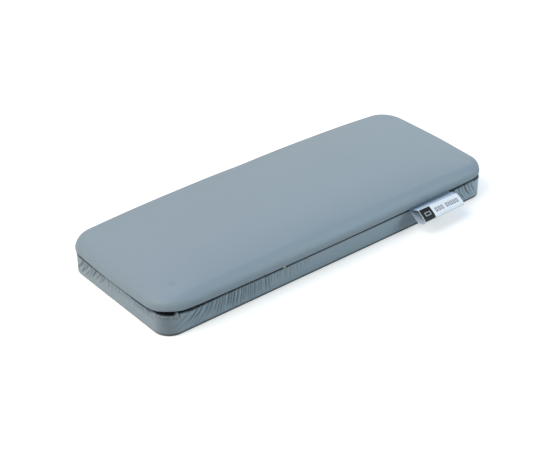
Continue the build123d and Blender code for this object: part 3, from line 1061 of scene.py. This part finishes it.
def hollow_foam(o):
    """Closes the foam sheet: down its side, in to the board's outline, up and across."""
    bm = bmesh.new()
    bm.from_mesh(o.data)
    verts, edges = extrude(bm, [e for e in bm.edges if e.is_boundary])
    for v in verts:
        x, y = v.co.x / MM, v.co.y / MM
        v.co.z = (board_lo[2] + 1.0 + 1.15 * lift(x, y) + 1.7 * smooth(150, 166, abs(x))) * MM
    verts, edges = extrude(bm, edges)
    for v in verts:
        x, y = onto_hollow(v.co.x / MM, v.co.y / MM)
        v.co.x, v.co.y = x * MM, y * MM
    verts, edges = extrude(bm, edges)
    for v in verts:
        v.co.z = (board_hi[2] + 0.1) * MM
    bmesh.ops.holes_fill(bm, edges=edges, sides=0)
    bmesh.ops.triangulate(bm, faces=[f for f in bm.faces if len(f.verts) > 4])
    bmesh.ops.recalc_face_normals(bm, faces=bm.faces)
    bm.to_mesh(o.data)
    bm.free()


# polyester wadding just inside the sheet, and the foam inside that
pad_wadding = inner_copy(cushion, "wadding_layer", depth=1.15)
thicken(pad_wadding, 1.8)
pad_wadding.data.materials.append(cad_materials["cushion_wadding"])
pad_foam = inner_copy(cushion, "foam_block", depth=3.2)
hollow_foam(pad_foam)
pad_foam.data.materials.append(cad_materials["cushion_foam"])

thicken(cushion, SKIN)
shade_smooth(cushion)
cushion.data.materials.append(cushion_leather)

# ---------------------------------------------------------------------------- ribbon label
SEAM_Z = (PLINTH_H + CUSHION_Z0) / 2
RIBBON_THICKNESS = 0.24
# The ribbon's path: in the seam, out over the crease, round the bend and back. Two plies lie
# in the seam: y, distance above or below the middle of the seam.
TAIL = [(-54, 0.15), (-58, 0.15), (-61.5, 0.15), (-64.2, 0.17)]
# The loop at the left and at the right edge of the ribbon: y, z.
LEFT_LOOP = [
    (-66.2, 18.95), (-68.6, 20.0), (-71.2, 21.15), (-73.4, 22.1), (-74.3, 22.4),
    (-75.2, 22.05), (-77.0, 20.9), (-79.2, 19.55), (-81.3, 18.1), (-82.9, 16.6),
    (-83.4, 15.1), (-82.4, 13.5), (-80.6, 12.2), (-78.4, 11.5), (-75.8, 11.6),
    (-73.0, 12.9), (-70.4, 14.5), (-68.0, 16.0), (-66.2, 17.3),
]
RIGHT_LOOP = [
    (-66.2, 18.8), (-68.4, 19.5), (-70.6, 20.25), (-72.3, 20.8), (-73.1, 21.0),
    (-74.0, 20.7), (-75.8, 19.7), (-77.9, 18.7), (-79.8, 17.6), (-81.3, 16.3),
    (-81.9, 14.8), (-81.2, 13.4), (-79.6, 12.5), (-77.5, 12.3), (-75.2, 12.8),
    (-72.8, 13.9), (-70.4, 15.1), (-68.1, 16.3), (-66.2, 17.4),
]
N_ALONG, N_ACROSS = 150, 62                     # points along the path, steps across it


def ribbon_path(loop):
    """Catmull-Rom through the tails and the loop, resampled evenly. Also its length."""
    upper = [(y, SEAM_Z + gap) for y, gap in TAIL]
    lower = [(y, SEAM_Z - gap) for y, gap in TAIL[::-1]]
    p = np.array(upper + loop + lower, float)
    padded = np.concatenate([[2 * p[0] - p[1]], p, [2 * p[-1] - p[-2]]])
    out = []
    for i in range(len(p) - 1):
        a, b, c, d = padded[i : i + 4]
        for t in np.linspace(0, 1, 12, endpoint=False):
            quadratic = (2 * a - 5 * b + 4 * c - d) * t * t
            cubic = (3 * b - a - 3 * c + d) * t**3
            out.append(0.5 * (2 * b + (c - a) * t + quadratic + cubic))
    out.append(p[-1])
    out = np.array(out)
    s = np.concatenate([[0], np.cumsum(np.linalg.norm(np.diff(out, axis=0), axis=1))])
    even = np.linspace(0, s[-1], N_ALONG)
    return np.c_[np.interp(even, s, out[:, 0]), np.interp(even, s, out[:, 1])], s[-1]


def build_label():
    left, length = ribbon_path(LEFT_LOOP)
    right, _ = ribbon_path(RIGHT_LOOP)
    width = LABEL_X1 - LABEL_X0
    verts, ribbon_u, ribbon_v = [], [], []
    for i in range(N_ACROSS + 1):
        u = i / N_ACROSS
        share = smooth(0, 1, u)
        for k, (y, z) in enumerate(left * (1 - share) + right * share):
            out = np.clip((-y - 66) / 18, 0, 1)     # the loop wavers more further out
            verts.append((
                LABEL_X0 + width * u + 0.25 * out * math.sin(u * 3.1),
                y,
                z + 0.12 * out * math.sin(u * 9.0 + k * 0.05),
            ))
            ribbon_u.append(u * width)
            ribbon_v.append(k / (N_ALONG - 1) * length)
    starts = [i * N_ALONG + k for i in range(N_ACROSS) for k in range(N_ALONG - 1)]
    faces = [(a, a + 1, a + N_ALONG + 1, a + N_ALONG) for a in starts]
    o = make_object("ribbon_label_loop", verts, faces)
    # the ribbon's own two directions, so that its weave and print follow it round the fold
    add_attribute(o, "ribbon_u", ribbon_u)
    add_attribute(o, "ribbon_v", ribbon_v)
    thicken(o, RIBBON_THICKNESS, offset=0)
    shade_smooth(o)
    # the half of the vertices nearer the middle of the loop is its inside
    co = coords(o)
    half = len(co) // 2
    far = np.hypot(co[:, 1] + 75.0, co[:, 2] - 17.0)
    inner_first = far[:half].mean() < far[half:].mean()
    add_attribute(o, "ribbon_inside", (np.arange(len(co)) < half) == inner_first)
    # distance along the ribbon of the top crease and of the outermost bend
    crease = length * np.argmax(left[:, 1]) / (N_ALONG - 1)
    fold = length * np.argmin(left[:, 0]) / (N_ALONG - 1)
    middle = crease + 0.5 * (fold - crease) - 0.2
    o.data.materials.append(satin_ribbon("satin_ribbon", crease, fold, middle))
    return o


label = build_label()

# ---------------------------------------------------------------------------- bodies
for o, node, slot in (
    (plinth, "plinth_cover", "leatherette"),
    (cushion, "cushion_cover", "leatherette"),
    (pad_wadding, "cushion_wadding", "wadding"),
    (pad_foam, "cushion_foam", "foam"),
):
    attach(o, "pad")
    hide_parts(node)
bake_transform(label)
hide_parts("ribbon_label")

# ---------------------------------------------------------------------------- stage, in metres
FLOOR_HALF, FLOOR_Z = 6, -0.0002
scene = bpy.context.scene
corners = [(x * FLOOR_HALF, y * FLOOR_HALF, FLOOR_Z) for x, y in ((-1, -1), (1, -1), (1, 1), (-1, 1))]
floor_mesh = bpy.data.meshes.new("floor")
floor_mesh.from_pydata(corners, [], [(0, 1, 2, 3)])
floor = bpy.data.objects.new("floor", floor_mesh)
scene.collection.objects.link(floor)
floor.data.materials.append(pale_floor("pale_floor"))

# The world is white to the camera and dim to everything else.
WORLD_DIM, WORLD_SEEN = 0.08, 1.0
world = bpy.data.worlds.new("studio")
scene.world = world
world.use_nodes = True
tree = world.node_tree
background = tree.nodes["Background"]
background.inputs[0].default_value = (1, 1, 1, 1)
path = tree.nodes.new("ShaderNodeLightPath")
level = tree.nodes.new("ShaderNodeMapRange")
level.inputs["To Min"].default_value = WORLD_DIM
level.inputs["To Max"].default_value = WORLD_SEEN
tree.links.new(path.outputs["Is Camera Ray"], level.inputs["Value"])
tree.links.new(level.outputs["Result"], background.inputs[1])

# Area lights: name, place, aim, size, power in watts, colour.
LIGHTS = [
    ("key", (-1.5, 0.3, 1.9), (0, 0, 0), (1.8, 1.8), 63.6, (1.0, 0.952, 0.837)),
    ("fill", (1.3, -1.5, 1.0), (0, 0, 0), (1.2, 1.2), 28.3, (0.812, 0.989, 1.0)),
    ("back", (0.6, 1.8, 1.5), (0, 0, 0), (1.4, 1.4), 11.6, (1.0, 0.82, 0.493)),
    ("edge", (1.3, 1.0, 0.6), (0.1, 0, 0), (1.0, 0.5), 4.8, (0.982, 1.0, 0.836)),
    ("top", (0.2, 0.5, 2.2), (0, 0, 0), (2.2, 2.2), 17.7, (0.164, 0.377, 1.0)),
]
for name, place, aim, size, power, colour in LIGHTS:
    light = bpy.data.lights.new(name, "AREA")
    light.shape = "RECTANGLE"
    light.size, light.size_y = size
    light.energy = power
    light.color = colour
    o = bpy.data.objects.new(name, light)
    scene.collection.objects.link(o)
    o.location = place
    o.rotation_mode = "QUATERNION"
    o.rotation_quaternion = (Vector(aim) - Vector(place)).to_track_quat("-Z", "Y")

# ---------------------------------------------------------------------------- camera
# It looks at the origin from the near left: angles in radians, distance in metres.
DOWN, YAW, ROLL, DISTANCE = 0.5644845, 0.8721075, 0.0087497, 1.2551956
cam_data = bpy.data.cameras.new("camera")
cam = bpy.data.objects.new("camera", cam_data)
scene.collection.objects.link(cam)
scene.camera = cam
cos_down = math.cos(DOWN)
look = Vector((cos_down * math.cos(YAW), cos_down * math.sin(YAW), -math.sin(DOWN)))
level_right = Vector((math.sin(YAW), -math.cos(YAW), 0))
level_up = level_right.cross(look)
right = level_right * math.cos(ROLL) + level_up * math.sin(ROLL)
up = level_up * math.cos(ROLL) - level_right * math.sin(ROLL)
cam.rotation_mode = "QUATERNION"
cam.rotation_quaternion = Matrix((right, up, -look)).transposed().to_quaternion()
cam.location = -look * DISTANCE
cam_data.sensor_width = 36.0
cam_data.lens = 98.592755
cam_data.shift_x = -0.019979818
cam_data.shift_y = 0.0066565455
cam_data.clip_start, cam_data.clip_end = 0.05, 50

scene.view_settings.view_transform = "Standard"
scene.view_settings.look = "None"
scene.view_settings.exposure = 0.0
scene.view_settings.gamma = 1.0
